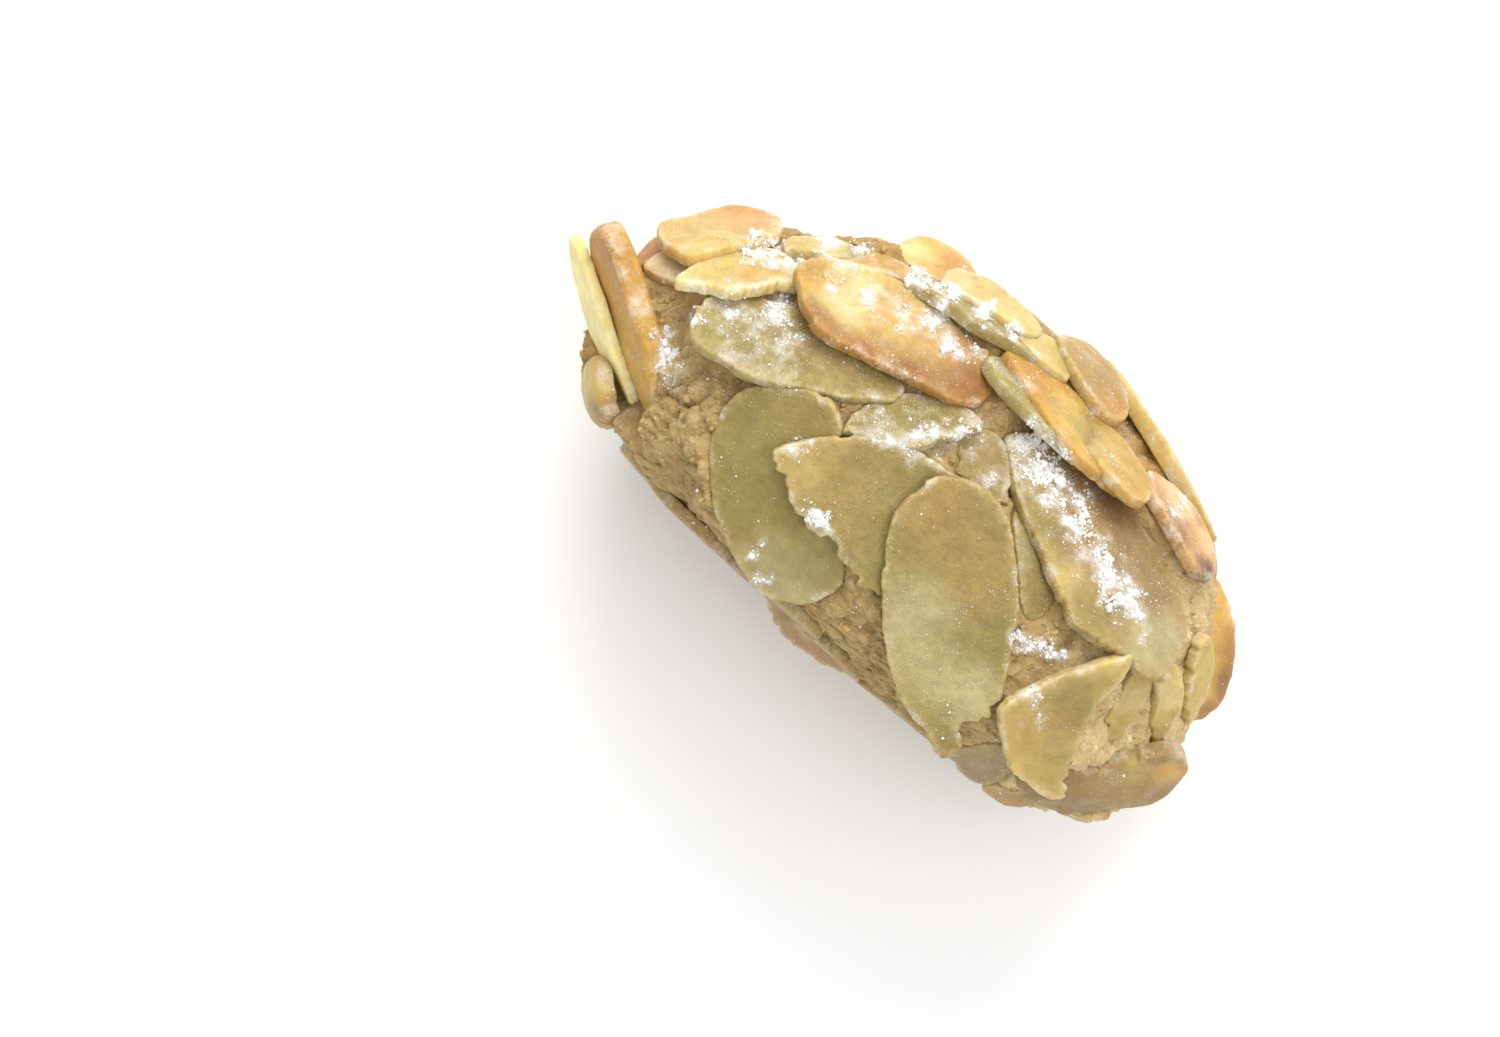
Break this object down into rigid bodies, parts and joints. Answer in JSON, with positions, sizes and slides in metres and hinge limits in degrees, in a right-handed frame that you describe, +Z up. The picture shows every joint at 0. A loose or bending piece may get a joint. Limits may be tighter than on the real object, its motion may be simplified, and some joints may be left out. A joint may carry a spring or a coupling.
{
  "type": "almond paste cookie",
  "caption": "Almond paste cookie: a short baked log, flat under and domed on top, covered with pressed-in flaked almonds and lying on its side.",
  "frame": {"origin": "on the table, under the middle of the cookie, on the level face of the flake that it lies on", "axes": "+X along the log, +Y from its flat baked base to its domed top, +Z up from the table to the shown flank"},
  "size_m": [0.0625, 0.0339, 0.0345],
  "materials": {
    "baked_paste": "matt baked almond paste, tan, grainy, browned along edges and base",
    "almond_flake": "cream to golden almond slices with a soft sheen, toasted brown at some rims",
    "powdered_sugar": "white sugar powder, matt"
  },
  "bodies": {
    "root": {"almond_cookie": "baked_paste"}
  },
  "joints": []
}
